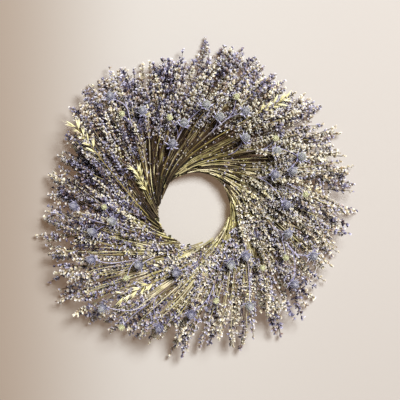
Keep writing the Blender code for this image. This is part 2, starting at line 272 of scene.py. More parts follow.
# How far the spikes reach all round the wreath, every fifteen degrees from the top.
RIM = (
    0.274, 0.282, 0.260, 0.272, 0.274, 0.279, 0.276, 0.260, 0.244, 0.270, 0.276, 0.258,
    0.253, 0.253, 0.254, 0.290, 0.280, 0.284, 0.254, 0.254, 0.250, 0.286, 0.274, 0.258,
)
# A few single tips stand out farther than the rest.
LONG_SHARE = 0.06
LONGER_BY = (0.003, 0.013)
# How much farther out or, below zero, farther in the cut ends lie, every thirty degrees
# from the top: the hole lies a little lower than the ring, and its edge is uneven.
HOLE_EDGE = (
    -0.0030, -0.0005, 0.0, 0.0010, 0.0045, 0.0095, 0.0120, 0.0095, 0.0055, 0.0005, 0.0010, 0.0,
)
# How much paler or, below zero, darker the stems are, every thirty degrees from the top. This is
# partly their own colour and partly painted light and shade: at the hole's edge the stems at the
# top are darker, as they turn from the lamp, and those at the bottom paler, as they face it.
STEM_TONES_AND_SHADE = (
    -0.28, -0.20, 0.00, -0.02, 0.30, 0.44, 0.52, 0.40, 0.22, -0.12, -0.04, -0.34,
)
# Where the tips of the innermost spikes start, every thirty degrees from the top, how far
# out these spikes go on, and how much farther out the other spikes start.
FIRST_TIPS = (
    0.150, 0.156, 0.152, 0.104, 0.094, 0.090, 0.094, 0.096, 0.104, 0.124, 0.140, 0.150,
)
INNER_TIPS = 0.055
OUTER_TIPS = 0.030
# How much sparser the spikes get towards the rim, every thirty degrees from the top. At 1
# they lie evenly, and below it more closely at the rim.
THINNING = (1.10, 1.25, 1.25, 1.40, 1.25, 1.25, 1.10, 0.90, 0.85, 1.15, 1.15, 1.00)
# The share of the stems that end in those innermost spikes, every thirty degrees.
INNER = (0.20, 0.20, 0.24, 0.28, 0.30, 0.32, 0.36, 0.36, 0.34, 0.24, 0.20, 0.20)
# The share of the long stems that lie over the front, every thirty degrees from the top.
LAID = (0.26, 0.38, 0.45, 0.30, 0.30, 0.36, 0.34, 0.32, 0.32, 0.36, 0.30, 0.26)
# The tables are read by a stem's angle at these radii: for its tone, for whether it ends in
# an inner spike and where, and for where it ends otherwise.
TONE_RADIUS = 0.100
INNER_RADIUS = 0.120
OUTER_RADIUS = 0.160


def lean(radius):
    """The angle between the stems and the outward radius."""
    ease = math.exp((HOLE_RADIUS - radius) / SWIRL_EASE)
    return math.asin((SWIRL_RADIUS - SWIRL_EASE * ease) / radius)


def swirl_table():
    """How far round the ring a stem has gone at each radius, counted from the ring."""
    table = []
    turned = 0.0
    for i in range(round((SWIRL_LAST - SWIRL_FIRST) / SWIRL_STEP) + 1):
        table.append(turned)
        middle = SWIRL_FIRST + (i + 0.5) * SWIRL_STEP
        turned += math.tan(lean(middle)) / middle * SWIRL_STEP
    at_ring = table[round((RING_RADIUS - SWIRL_FIRST) / SWIRL_STEP)]
    return [value - at_ring for value in table]


SWIRL = swirl_table()


def turn(radius):
    """How far round the ring a stem has gone at this radius."""
    place = (radius - SWIRL_FIRST) / SWIRL_STEP
    below = int(place)
    return SWIRL[below] + (place - below) * (SWIRL[below + 1] - SWIRL[below])


def half_width(radius):
    """Half the room that a bunch has between its neighbours, square to its stems."""
    return 0.5 * SECTOR * radius * math.cos(lean(radius))


def stream_angle(bunch, radius, across, swing=0.0):
    """The angle of a point of the fan: across is its distance from the middle stem."""
    aside = across / (radius * math.cos(lean(radius)))
    angle = FIRST_TIE + bunch * SECTOR + turn(radius) + aside
    if radius > SWING_START:
        angle += swing * (1 - math.exp((SWING_START - radius) / SWING_EASE))
    return angle


def on_stream(bunch, radius, across, depth, swing=0.0):
    """A point of the fan, at this depth."""
    angle = stream_angle(bunch, radius, across, swing)
    return RING_CENTRE + Vector((radius * math.sin(angle), depth, radius * math.cos(angle)))


def layer_depth(forward, radius):
    """The depth of a stem whose layer lies this far forward, from 0 to 1."""
    neck = NECK_MIDDLE + (1 - 2 * forward) * (NECK_HALF_DEPTH - NECK_EDGE)
    rim = BACK_RIM_DEPTH + forward * (FRONT_RIM_DEPTH - BACK_RIM_DEPTH)
    share = max(0.0, (radius - FAN_START) / (FAN_END - FAN_START))
    return neck + (rim - neck) * share


def dome_depth(bunch, radius):
    """The depth of the foremost stems at this radius, on a dome over all the layers' tips."""
    near = None
    for forward, share in DOME:
        far = share * REACHES[bunch]
        if radius <= far:
            if near is None:
                return layer_depth(forward, radius)
            low = layer_depth(*near)
            part = (radius - near[1]) / (far - near[1])
            return low + (layer_depth(forward, far) - low) * part
        near = (forward, far)
    return layer_depth(*near)


def between(values, place):
    """The value at this place in a ring of evenly spaced values."""
    low = math.floor(place)
    share = place - low
    return values[low % len(values)] * (1 - share) + values[(low + 1) % len(values)] * share


def all_round(values, angle):
    """The value at this angle, from values that are spread evenly round the wreath."""
    return between(values, angle / math.tau * len(values))


def smooth_step(value, low, high):
    """A smooth rise from 0 to 1 as the value goes from low to high."""
    share = min(1.0, max(0.0, (value - low) / (high - low)))
    return share * share * (3 - 2 * share)


def held(value, low, high):
    """The value, kept between these limits."""
    return max(low, min(high, value))


class Stem:
    """One stem of lavender: where it lies, and how long and thick its spike is."""

    def __init__(self, bunch, number, strands, draw):
        self.bunch = bunch
        self.side = held(-1 + 2 * (number + 0.5) / STEMS + draw.gauss(0, SIDE_SCATTER), -1, 1)
        strand = round((self.side + 1) / 2 * (STRANDS - 1) + draw.gauss(0, STRAND_SCATTER))
        strand = held(strand, 0, STRANDS - 1)
        bundled = -STRAND_SPREAD + 2 * STRAND_SPREAD * strand / (STRANDS - 1)
        self.tied = STRAND_PULL * bundled + SIDE_PULL * self.side + draw.gauss(0, TIED_SCATTER)
        paleness, aside, raised = strands[strand]
        self.side += aside
        pale = draw.random() < PALE_SHARE + PALER_STRAND * paleness
        self.tone = draw.uniform(*PALE_TONES) if pale else draw.uniform(*BROWN_TONES)
        scatter = STRAY_SCATTER if draw.random() < STRAY_SHARE else SWING_SCATTER
        self.swing = between(SWINGS, bunch + self.side / 2) + draw.gauss(0, scatter)
        self.bow = draw.gauss(0, BOW_SCATTER)
        self.lift = draw.gauss(0, LIFT_SCATTER) + raised
        self.place_tip(draw)
        self.start = draw.uniform(*CUT_ENDS)
        if draw.random() < LONG_END_SHARE:
            self.start = draw.uniform(LONGEST_END, CUT_ENDS[0])
        across = self.tied * NECK_SHARE * half_width(self.start)
        self.start += all_round(HOLE_EDGE, stream_angle(bunch, self.start, across))
        self.start = max(self.start, SWIRL_FIRST + END_MARGIN)
        self.spike = draw.uniform(*SPIKE_LENGTHS)
        # Partly painted light and shade, by where the stem lies round the hole.
        across = self.side * half_width(TONE_RADIUS)
        self.tone += all_round(STEM_TONES_AND_SHADE, stream_angle(bunch, TONE_RADIUS, across))
        # Painted shade: the farther back a stem's layer lies, the darker its tone.
        self.tone = held(self.tone * (PAINTED_BACK_SHADE + (1 - PAINTED_BACK_SHADE) * self.forward), 0, 1)
        self.over = draw.uniform(*OVER_HEIGHTS) if draw.random() < OVER_SHARE else 0.0
        self.girth = draw.uniform(*GIRTHS)

    def angle_at(self, radius):
        return stream_angle(self.bunch, radius, self.side * half_width(radius), self.swing)

    def place_tip(self, draw):
        """Sets how far out and how far forward the tip lies."""
        reach = all_round(RIM, self.angle_at(FAN_END))
        angle = self.angle_at(INNER_RADIUS)
        inner = draw.random() < all_round(INNER, angle)
        if inner:
            first = all_round(FIRST_TIPS, angle)
            self.tip = draw.uniform(first, first + INNER_TIPS)
            self.forward = 1.0 + draw.uniform(*INNER_FORWARD)
        else:
            angle = self.angle_at(OUTER_RADIUS)
            first = all_round(FIRST_TIPS, angle) + OUTER_TIPS
            share = draw.random() ** all_round(THINNING, angle)
            self.tip = math.sqrt(first ** 2 + share * (reach ** 2 - first ** 2))
            root = math.sqrt(DOME_SLOPE ** 2 + 4 * DOME_BEND * (1 - self.tip / reach))
            self.forward = (root - DOME_SLOPE) / (2 * DOME_BEND)
            self.forward = min(1.0, self.forward) - abs(draw.gauss(0, DEPTH_SCATTER))
        share = 1.0 if inner else all_round(LAID, angle)
        self.laid = self.tip > LAID_FROM and draw.random() < share
        if self.laid:
            self.forward = 1.0
        self.forward = held(self.forward, *FORWARD_LIMITS)
        if draw.random() < LONG_SHARE:
            self.tip += draw.uniform(*LONGER_BY)

    def point(self, radius):
        """Where the stem's middle line is at this radius."""
        fanned = held((radius - SPREAD_START) / SPREAD_LENGTH, 0, 1) ** SPREAD_EASE
        side = self.tied * NECK_SHARE * (1 - fanned) + self.side * FAN_SHARE * fanned
        across = side * half_width(radius)
        part = max(0.0, (radius - FAN_START) / (self.tip - FAN_START))
        across += self.bow * math.sin(math.pi * min(1.0, part))
        if self.laid:
            depth = dome_depth(self.bunch, radius) - LAID_RISE * part
        else:
            depth = layer_depth(self.forward, radius)
        depth += self.lift * part
        if self.over:
            above = NECK_MIDDLE - NECK_HALF_DEPTH - self.over
            depth += (above - depth) * (1 - smooth_step(radius, *OVER_EASE))
        return on_stream(self.bunch, radius, across, depth, self.swing)

    def place_spike(self, draw):
        """Sets the spike's base and tip, and the points that the stem follows."""
        end = self.point(self.tip)
        radius = self.tip
        while (self.point(radius) - end).length < self.spike and radius > SPIKE_START:
            radius -= SPIKE_STEP
        self.base = self.point(radius)
        straight = (end - self.base).normalized()
        tilt = Vector([draw.gauss(0, SPIKE_TILT) for _ in range(3)])
        self.axis = (straight + tilt).normalized()
        self.axis.y = min(self.axis.y, (SPIKE_BACK - self.base.y) / self.spike)
        self.axis.normalize()
        self.points = []
        for i in range(SPANS + 1):
            share = (i / SPANS) ** POINT_EASE
            self.points.append(self.point(self.start + (radius - self.start) * share))
        for share in INTO_SPIKE:
            self.points.append(self.base + self.axis * self.spike * share)


MERGE_DISTANCE = 1e-6


def rods(name, routes, tones, radius, taper=0.5, rounds=0, girths=None):
    """A mesh of thin rods with closed ends, one along each of these routes. Each has its
    tone, its share of the way along in the attribute up, and may have its own girth."""
    curve = bpy.data.curves.new(name, "CURVE")
    curve.dimensions = "3D"
    curve.bevel_depth = radius
    curve.bevel_resolution = rounds
    sides = 4 + 2 * rounds
    tone_values = []
    up_values = []
    for route, tone, girth in zip(routes, tones, girths or [1.0] * len(routes)):
        ends = (route[0] - route[1], route[-1] - route[-2])
        first = route[0] + ends[0].normalized() * radius / 2
        last = route[-1] + ends[1].normalized() * radius / 2
        line = curve.splines.new("POLY")
        line.points.add(len(route) + 1)
        for i, (spot, point) in enumerate(zip(line.points, [first] + route + [last])):
            share = i / (len(route) + 1)
            spot.co = (*point, 1)
            spot.radius = girth * (1 - (1 - taper) * share)
            tone_values += [tone] * sides
            up_values += [share] * sides
        line.points[0].radius = 0.0
        line.points[-1].radius = 0.0
    holder = new_object(name, curve)
    bpy.context.view_layer.update()
    graph = bpy.context.evaluated_depsgraph_get()
    data = bpy.data.meshes.new_from_object(holder.evaluated_get(graph))
    bpy.data.objects.remove(holder)
    bpy.data.curves.remove(curve)
    write_attribute(data, "tone", tone_values)
    write_attribute(data, "up", up_values)
    shape = bmesh.new()
    shape.from_mesh(data)
    bmesh.ops.remove_doubles(shape, verts=shape.verts, dist=MERGE_DISTANCE)
    bpy.data.meshes.remove(data)
    return mesh_of(shape, name)


def write_attribute(data, name, values):
    """Gives each point of a mesh a number, which its material reads."""
    layer = data.attributes.get(name) or data.attributes.new(name, "FLOAT", "POINT")
    layer.data.foreach_set("value", values)


def read_attribute(tree, name):
    return add(tree, "ShaderNodeAttribute", {}, attribute_name=name).outputs["Fac"]


def ramp(tree, value, stops):
    """The colour at this value among stops, each a place from 0 to 1 and a colour."""
    node = add(tree, "ShaderNodeValToRGB", {"Fac": value})
    band = node.color_ramp
    band.elements[0].position = stops[0][0]
    band.elements[1].position = stops[-1][0]
    for place, _ in stops[1:-1]:
        band.elements.new(place)
    for element, (_, shade) in zip(band.elements, stops):
        element.color = shade
    return node.outputs["Color"]


# Dry plants share a fine fibrous grain, which makes their surface uneven and dusty.
FIBRE_EDGE = (0.35, 0.65)

grain = bpy.data.node_groups.new("dry fibre", "ShaderNodeTree")
grain.interface.new_socket(name="Scale", in_out="INPUT", socket_type="NodeSocketFloat")
grain.interface.new_socket(name="Height", in_out="INPUT", socket_type="NodeSocketFloat")
grain.interface.new_socket(name="Mask", in_out="OUTPUT", socket_type="NodeSocketFloat")
grain.interface.new_socket(name="Normal", in_out="OUTPUT", socket_type="NodeSocketVector")
entry = grain.nodes.new("NodeGroupInput")
leave = grain.nodes.new("NodeGroupOutput")
fibres = noise(grain, entry.outputs["Scale"], detail=3.0)
raised = add(grain, "ShaderNodeBump", {"Height": fibres, "Distance": entry.outputs["Height"]})
grain.links.new(ranged(grain, fibres, *FIBRE_EDGE), leave.inputs["Mask"])
grain.links.new(raised.outputs["Normal"], leave.inputs["Normal"])


def dry_fibre(tree, scale, height):
    """The grain's mask and normal, at this scale."""
    inputs = {"Scale": scale, "Height": height}
    group = add(tree, "ShaderNodeGroup", inputs, node_tree=grain)
    return group.outputs["Mask"], group.outputs["Normal"]


def finish(tree, shader, shade, scale, height, share, dust):
    """Gives the shader this colour, with dry fibres in it that hold this share of dust."""
    mask, bumps = dry_fibre(tree, scale, height)
    dusty = ranged(tree, mask, 0, 1, last=share)
    put(tree, shader.inputs["Base Color"], mixed(tree, dusty, shade, dust, "MULTIPLY"))
    put(tree, shader.inputs["Normal"], bumps)


# The stems' colours by their tone. They are browner towards the tip, with patches of bark,
# and here and there still green. An edge is where such a colour begins and where it is
# full, and a share is how strong it gets.
STEM_COLOURS = (
    (0.0, colour(20, 14, 10)),
    (0.20, colour(42, 31, 21)),
    (0.38, colour(94, 82, 62)),
    (0.55, colour(150, 142, 110)),
    (0.75, colour(210, 204, 170)),
    (1.0, colour(246, 242, 218)),
)
TIP_BROWN = colour(84, 60, 42)
TIP_EDGE = (0.20, 0.55)
TIP_SHARE = 0.35
BARK_BROWN = colour(50, 38, 27)
BARK_SCALE = 60
BARK_EDGE = (0.45, 0.62)
BARK_SHARE = 0.5
STEM_GREEN = colour(234, 238, 180)
GREEN_SCALE = 34
GREEN_EDGE = (0.40, 0.62)
GREEN_SHARE = 0.65
STEM_DUST = colour(150, 140, 124)

stem_skin, tree, shader = new_material("dry lavender stem", roughness=0.65)
straw = ramp(tree, read_attribute(tree, "tone"), STEM_COLOURS)
browner = ranged(tree, read_attribute(tree, "up"), *TIP_EDGE, last=TIP_SHARE)
straw = mixed(tree, browner, straw, TIP_BROWN)
bark = ranged(tree, noise(tree, BARK_SCALE), *BARK_EDGE, last=BARK_SHARE)
straw = mixed(tree, bark, straw, BARK_BROWN)
greener = ranged(tree, noise(tree, GREEN_SCALE), *GREEN_EDGE, last=GREEN_SHARE)
straw = mixed(tree, greener, straw, STEM_GREEN, "MULTIPLY")
finish(tree, shader, straw, scale=900, height=0.0002, share=0.4, dust=STEM_DUST)

bunches = []
for bunch in range(BUNCHES):
    draw = random.Random(STEM_SEED + bunch)
    strands = [
        (draw.random(), draw.gauss(0, STRAND_ASIDE), draw.gauss(0, STRAND_RAISE))
        for _ in range(STRANDS)
    ]
    stems = [Stem(bunch, number, strands, draw) for number in range(STEMS)]
    for stem in stems:
        stem.place_spike(draw)
    bunches.append(stems)
    name = f"lavender_stems_{bunch + 1:02d}"
    routes = [stem.points for stem in stems]
    tones = [stem.tone for stem in stems]
    data = rods(name, routes, tones, STEM_RADIUS, girths=[stem.girth for stem in stems])
    piece = new_object(name, data, stem_skin)
    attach(piece, "root")
    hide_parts(f"bunch_{bunch + 1:02d}")


# Lavender spikes
# At each stem's tip, up to seven whorls of dried calyces, small felted cups and buds that
# point up and out. The lowest whorls stand apart. The calyces are violet to grey-blue where
# they keep their colour, and have faded to brown, grey and cream elsewhere.
CALYX_LENGTH = 0.0055
CALYX_SIDES = 3
# Half an open calyx and half a closed one, from the foot up: radii and heights as shares of
# the length.
CUP_PROFILE = ((0, 0), (0.24, 0.45), (0.30, 1.0), (0, 0.55))
BUD_PROFILE = ((0, 0), (0.24, 0.30), (0.25, 0.70), (0, 1.0))
# The share of open calyces, and how far a calyx's foot is off the stem's middle line.
CUP_SHARE = 0.45
CALYX_FOOT = 0.0004
# Each whorl's height as a share of the spike, its calyces, their splay in degrees and size.
WHORLS = (
    (0.00, 5, 46, 0.95),
    (0.20, 6, 48, 1.02),
    (0.35, 7, 48, 1.06),
    (0.49, 7, 46, 1.06),
    (0.62, 7, 42, 1.02),
    (0.75, 6, 35, 0.98),
    (0.88, 5, 20, 0.94),
)
SPIKE_KINDS = 12
SPIKE_SEED = 700
SPIKE_LENGTH = 0.056
# The heights that the lowest whorl may start from, and the one from which all whorls are
# kept. Below it this share of the whorls has fallen off, and this share of all calyces.
LOWEST_WHORLS = (0.0, 0.0, 0.1, 0.3)
WHORLS_KEPT = 0.7
FALLEN_WHORLS = 0.12
FALLEN_CALYCES = 0.10
# How far each whorl is turned against the one below it, and how uneven whorls and calyces
# are in height, direction, splay in degrees, size and tone.
WHORL_TURNS = (0.3, 0.8)
WHORL_RISE = 0.0016
WHORL_TONE = 0.06
CALYX_RISE = 0.0011
CALYX_SPIN = 0.2
CALYX_SPLAY = 13
CALYX_SIZES = (0.75, 1.20)
CALYX_TONE = 0.13


def turned(profile, sides):
    """A shape turned round +Z from a profile of radii and heights, with the height kept in
    the attribute up, and a tone."""
    shape = bmesh.new()
    corners = [shape.verts.new((radius, 0, height)) for radius, height in profile]
    edges = [shape.edges.new(pair) for pair in zip(corners, corners[1:])]
    bmesh.ops.spin(
        shape,
        geom=corners + edges,
        cent=(0, 0, 0),
        axis=(0, 0, 1),
        angle=math.tau,
        steps=sides,
        use_merge=True,
    )
    bmesh.ops.remove_doubles(shape, verts=shape.verts, dist=MERGE_DISTANCE)
    bmesh.ops.recalc_face_normals(shape, faces=shape.faces)
    tall = max(height for _, height in profile)
    shape.verts.layers.float.new("tone")
    up = shape.verts.layers.float.new("up")
    for corner in shape.verts:
        corner[up] = corner.co.z / tall
    return shape


def new_cluster():
    """An empty bmesh that keeps the tones and heights of what is added to it."""
    shape = bmesh.new()
    shape.verts.layers.float.new("tone")
    shape.verts.layers.float.new("up")
    return shape


def add_copy(cluster, data, matrix, tones):
    """Adds a copy of a mesh with its own place and tones."""
    copy = data.copy()
    copy.transform(matrix)
    write_attribute(copy, "tone", tones)
    cluster.from_mesh(copy)
    bpy.data.meshes.remove(copy)


CUP = mesh_of(turned(CUP_PROFILE, CALYX_SIDES), "cup")
BUD = mesh_of(turned(BUD_PROFILE, CALYX_SIDES), "bud")


def spike_mesh(number):
    """One kind of spike, SPIKE_LENGTH long, along +Z. Some kinds lack their lowest whorls."""
    draw = random.Random(SPIKE_SEED + number)
    cluster = new_cluster()
    start = draw.uniform(0, math.tau)
    lowest = draw.choice(LOWEST_WHORLS)
    for height, count, splay, size in WHORLS:
        start += draw.uniform(*WHORL_TURNS)
        if height < lowest or height < WHORLS_KEPT and draw.random() < FALLEN_WHORLS:
            continue
        rise = height * SPIKE_LENGTH + draw.gauss(0, WHORL_RISE)
        fade = draw.gauss(0, WHORL_TONE)
        for k in range(count):
            if draw.random() < FALLEN_CALYCES:
                continue
            spin = start + math.tau * k / count + draw.gauss(0, CALYX_SPIN)
            tilt = math.radians(splay + draw.gauss(0, CALYX_SPLAY))
            long = CALYX_LENGTH * size * draw.uniform(*CALYX_SIZES)
            matrix = (
                Matrix.Translation((0, 0, rise + draw.gauss(0, CALYX_RISE)))
                @ Matrix.Rotation(spin, 4, "Z")
                @ Matrix.Rotation(tilt, 4, "Y")
                @ Matrix.Translation((0, 0, CALYX_FOOT))
                @ Matrix.Scale(long, 4)
            )
            tone = fade + draw.gauss(0, CALYX_TONE)
            shape = CUP if draw.random() < CUP_SHARE else BUD
            add_copy(cluster, shape, matrix, [tone] * len(shape.vertices))
    return mesh_of(cluster, f"spike_{number}")


SPIKES = [spike_mesh(number) for number in range(SPIKE_KINDS)]
SPIKE_TONES = [[value.value for value in kind.attributes["tone"].data] for kind in SPIKES]
# The middle tone of the flowers all round the wreath, every thirty degrees from the top:
# the upper left has kept more of its violet, and the upper right has faded most. Towards
# the rim all go to the same tone.
FADING = (0.64, 0.72, 0.74, 0.66, 0.58, 0.58, 0.56, 0.46, 0.44, 0.36, 0.38, 0.44)
FADING_SCATTER = 0.19
RIM_TONE = 0.55
RIM_TONE_EASE = (0.190, 0.280)
LIGHTEST_TONE = 0.9
# A few spikes have dried to the colour of straw, by other tones.
STRAW_SHARE = 0.010
STRAW_TONE = 0.94
STRAW_CONTRAST = 0.6
STRAW_TONES = (0.8, 1.0)
FLOWER_SEED = 300
SPIKE_GIRTHS = (0.92, 1.22)
# The hindmost spikes are fuller by this share.
BACK_GIRTH = 0.30
# Loose buds that are caught on each stem, from this share of its length on.
CRUMBS = 3
CRUMBS_FROM = 0.15
CRUMB_SIZES = (0.4, 0.95)
CRUMB_TILT = 0.5
CRUMB_TONE = -0.15
CRUMB_TONE_SCATTER = 0.2
# The colours of the calyces by their tone: first their sides, which go to brown at the foot,
# then their lips, which are felted and pale. The brown at the foot is partly their own colour
# and partly painted shade deep in the whorl, and the pale lips are partly their felt and partly
# a painted highlight.
SIDE_COLOURS = (
    (0.0, colour(26, 20, 26)),
    (0.18, colour(52, 46, 68)),
    (0.34, colour(100, 99, 130)),
    (0.48, colour(150, 150, 174)),
    (0.60, colour(160, 154, 146)),
    (0.74, colour(170, 161, 138)),
    (0.90, colour(198, 193, 172)),
    (1.0, colour(204, 200, 156)),
)
LIP_AND_HIGHLIGHT_COLOURS = (
    (0.0, colour(68, 62, 88)),
    (0.25, colour(122, 122, 156)),
    (0.45, colour(212, 214, 232)),
    (0.62, colour(221, 227, 238)),
    (0.90, colour(232, 237, 237)),
    (1.0, colour(226, 224, 186)),
)
FOOT_BROWN_AND_SHADE = colour(44, 37, 24)
FOOT_TOP = 0.45
FOOT_SHARE = 0.9
LIP_START = 0.66
LIP_SHARE = 0.95
FLOWER_DUST = colour(158, 150, 144)
FLOWER_DUST_SHARE = 0.35
WITHERED_BROWN = colour(116, 92, 62)
WITHERED_SCALE = 130
WITHERED_EDGE = (0.52, 0.64)
WITHERED_SHARE = 0.65

flower_skin, tree, shader = new_material("dried lavender flower", roughness=0.85)
dust, bumps = dry_fibre(tree, scale=1500, height=0.00025)
height = read_attribute(tree, "up")
sides = ramp(tree, read_attribute(tree, "tone"), SIDE_COLOURS)
lips = ramp(tree, read_attribute(tree, "tone"), LIP_AND_HIGHLIGHT_COLOURS)
# Painted shade at each calyx's foot, and a painted highlight on its lips, over its own colours.
foot = ranged(tree, height, 0.0, FOOT_TOP, FOOT_SHARE, 0.0)
shade = mixed(tree, foot, sides, FOOT_BROWN_AND_SHADE)
shade = mixed(tree, ranged(tree, height, LIP_START, 1.0, last=LIP_SHARE), shade, lips)
dusty = ranged(tree, dust, 0, 1, last=FLOWER_DUST_SHARE)
shade = mixed(tree, dusty, shade, FLOWER_DUST, "MULTIPLY")
withered = ranged(tree, noise(tree, WITHERED_SCALE), *WITHERED_EDGE, last=WITHERED_SHARE)
put(tree, shader.inputs["Base Color"], mixed(tree, withered, shade, WITHERED_BROWN))
put(tree, shader.inputs["Normal"], bumps)

for bunch, stems in enumerate(bunches):
    draw = random.Random(FLOWER_SEED + bunch)
    cluster = new_cluster()
    for stem in stems:
        kind = draw.randrange(SPIKE_KINDS)
        girth = draw.uniform(*SPIKE_GIRTHS) * (1 + BACK_GIRTH - BACK_GIRTH * stem.forward)
        matrix = (
            Matrix.Translation(stem.base)
            @ stem.axis.to_track_quat("Z", "Y").to_matrix().to_4x4()
            @ Matrix.Rotation(draw.uniform(0, math.tau), 4, "Z")
            @ Matrix.Diagonal((girth, girth, stem.spike / SPIKE_LENGTH, 1))
        )
        from_centre = stem.base - RING_CENTRE
        middle = all_round(FADING, math.atan2(from_centre.x, from_centre.z))
        middle += (RIM_TONE - middle) * smooth_step(stem.tip, *RIM_TONE_EASE)
        middle += draw.gauss(0, FADING_SCATTER)
        tones = [held(middle + tone, 0.0, LIGHTEST_TONE) for tone in SPIKE_TONES[kind]]
        if draw.random() < STRAW_SHARE:
            tones = [
                held(STRAW_TONE + STRAW_CONTRAST * tone, *STRAW_TONES)
                for tone in SPIKE_TONES[kind]
            ]
        add_copy(cluster, SPIKES[kind], matrix, tones)
        for _ in range(CRUMBS):
            share = draw.uniform(CRUMBS_FROM, 1.0)
            number = int(share * (SPANS - 1))
            place = stem.points[number].lerp(stem.points[number + 1], draw.random())
            way = stem.axis + Vector([draw.gauss(0, CRUMB_TILT) for _ in range(3)])
            matrix = (
                Matrix.Translation(place)
                @ way.to_track_quat("Z", "Y").to_matrix().to_4x4()
                @ Matrix.Scale(CALYX_LENGTH * draw.uniform(*CRUMB_SIZES), 4)
            )
            tone = middle + draw.gauss(CRUMB_TONE, CRUMB_TONE_SCATTER)
            add_copy(cluster, BUD, matrix, [held(tone, 0.0, LIGHTEST_TONE)] * len(BUD.vertices))
    name = f"lavender_flowers_{bunch + 1:02d}"
    piece = new_object(name, mesh_of(cluster, name), flower_skin)
    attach(piece, "root")
    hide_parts(f"bunch_{bunch + 1:02d}")


# Sea holly
# Eleven dried sprays of sea holly: branched lilac stems, each twig with an egg-shaped head
# of many tiny pointed florets on a ruff of spiny bracts, or with a young pale green head.
# Their stems are laid on the fronts of the bunches and held by the same wire.
NECK_FRONT = NECK_MIDDLE - NECK_HALF_DEPTH
HOLLY_SEED = 500
HOLLY_STEM = 0.0011
TWIG = 0.0007
# How far the heads stand off the lavender.
HOLLY_LIFT = 0.009
# Where the stems are tied on: their depth, and the radii between which they lie flat.
TIED_DEPTH = NECK_FRONT - CLEARANCE - HOLLY_STEM
TIED_FROM = 0.0685
TIED_TO = 0.0820
SPRAY_STEP = 0.005
SMOOTHING_ROUNDS = 2
# A short step outwards, which gives the way that the stems run.
AHEAD = 0.001
# The lavender is this thick over its outermost middle lines: stems only at first, and
# spikes as well from SPIKES_FROM on.
STEM_SKIN = 0.0014
SPIKE_SKIN = 0.0048
SPIKES_FROM = 0.088
SPIKES_EASE = 0.012
# A twig leaves the stem this far short of its head, or sooner if the head lies aside. It
# leaves along the stem, and then bends to the front.
STEM_SHORT_OF_HEAD = 0.018
FORK_ASIDE = 0.6
FIRST_FORK = 0.092
FORK_LENGTH = 0.004
FORK_REACH = 0.45
# A head points outwards and to the front by these shares, and its twig ends inside it.
HEAD_OUTWARD = 0.70
HEAD_FORWARD = 0.71
INTO_HEAD = 0.002
# The heads are egg-shaped, widest below the middle, and full of florets in spirals.
HEAD_LENGTH = 0.0150
HEAD_LENGTHS = (0.92, 1.05)
HEAD_RADIUS = 0.0062
HEAD_FLORETS = 105
HEAD_TAPER = 0.9
HEAD_FULLNESS = 0.75
CORE_SHARE = 0.9
CORE_STEPS = 8
CORE_SIDES = 14
CORE_TONE = 0.25
BUD_RADIUS = 0.0040
BUD_FLORETS = 46
FLORET_LENGTH = 0.0026
FLORET_SIZES = (0.8, 1.15)
FLORET_PROFILE = ((0, 0), (0.30, 0.2), (0.24, 0.62), (0, 1.0))
FLORET_SIDES = 5
FLORET_SEAT = 0.96
FLORET_TONE = 0.25
# The florets' first and last height on the head, the height where they stand straight out,
# and how they tilt up above it and down below it.
FLORETS_FROM = 0.05
FLORETS_OVER = 0.93
STRAIGHT_HEIGHT = 0.42
TILT_RISE = 1.15
TILT_WIDTH = 0.55
LEAST_WIDTH = 0.12
FLORET_LIFT = 0.25
FLORET_SCATTER = 0.08
GOLDEN_TURN = math.pi * (3 - math.sqrt(5))
# The ruffs: how many bracts, how long, how far they rise in radians, and how uneven.
BRACTS = 9
BRACT_LENGTH = 0.0165
BRACT_RISE = 0.22
RUFF_DROP = 0.001
BUD_BRACTS = 6
BUD_BRACT_LENGTH = 0.0065
BUD_BRACT_RISE = 0.35
BRACT_SIZES = (0.75, 1.1)
BRACT_TILT = 0.16
BRACT_SPIN = 0.12
# A bract's blade and its side spines, in shares of its length: each spine's height and side.
BLADE_PROFILE = ((0, 0), (0.07, 0.06), (0.088, 0.3), (0.062, 0.6), (0.03, 0.85), (0, 1))
BLADE_SIDES = 4
BLADE_FLATNESS = 0.45
BLADE_CURVE = 0.22
SPINE_PROFILE = ((0, 0), (0.022, 0.03), (0, 0.22))
SPINE_SIDES = 3
SPINES = ((0.28, 1), (0.36, -1), (0.52, 1), (0.62, -1))
SPINE_FOOT = 0.05
SPINE_TILT = 0.9
# One row for each spray: its bunch, where it is tied across the neck, the radius and the
# place across the sector of each head, and those of each young head.
HOLLY_SPRAYS = (
    (0, 0.0, ((0.135, -0.020), (0.157, 0.013), (0.188, 0.030)), ((0.170, -0.008),)),
    (1, 0.0, ((0.137, -0.016), (0.166, -0.032), (0.146, 0.025)), ((0.180, 0.000),)),
    (2, 0.0, ((0.156, -0.009), (0.209, -0.016), (0.205, 0.038)), ((0.170, 0.020),)),
    (3, 0.0, ((0.116, 0.009), (0.185, 0.020)), ((0.150, -0.014),)),
    (4, 0.0, ((0.112, -0.014), (0.177, 0.024)), ((0.160, -0.008),)),
    (5, -0.0022, ((0.113, 0.011), (0.209, -0.040), (0.226, 0.048)), ((0.236, 0.004),)),
    (6, 0.0, ((0.134, -0.005), (0.190, 0.020)), ((0.165, -0.022),)),
    (7, 0.0, ((0.138, 0.004), (0.174, -0.024), (0.198, 0.008)), ((0.150, 0.022),)),
    (9, 0.0024, ((0.175, 0.018), (0.226, -0.030)), ((0.192, -0.016),)),
    (10, 0.0, ((0.106, 0.004), (0.134, 0.012), (0.163, 0.036)), ((0.150, -0.014),)),
    (11, -0.0022, ((0.148, -0.010), (0.172, 0.012)), ((0.190, -0.016),)),
)


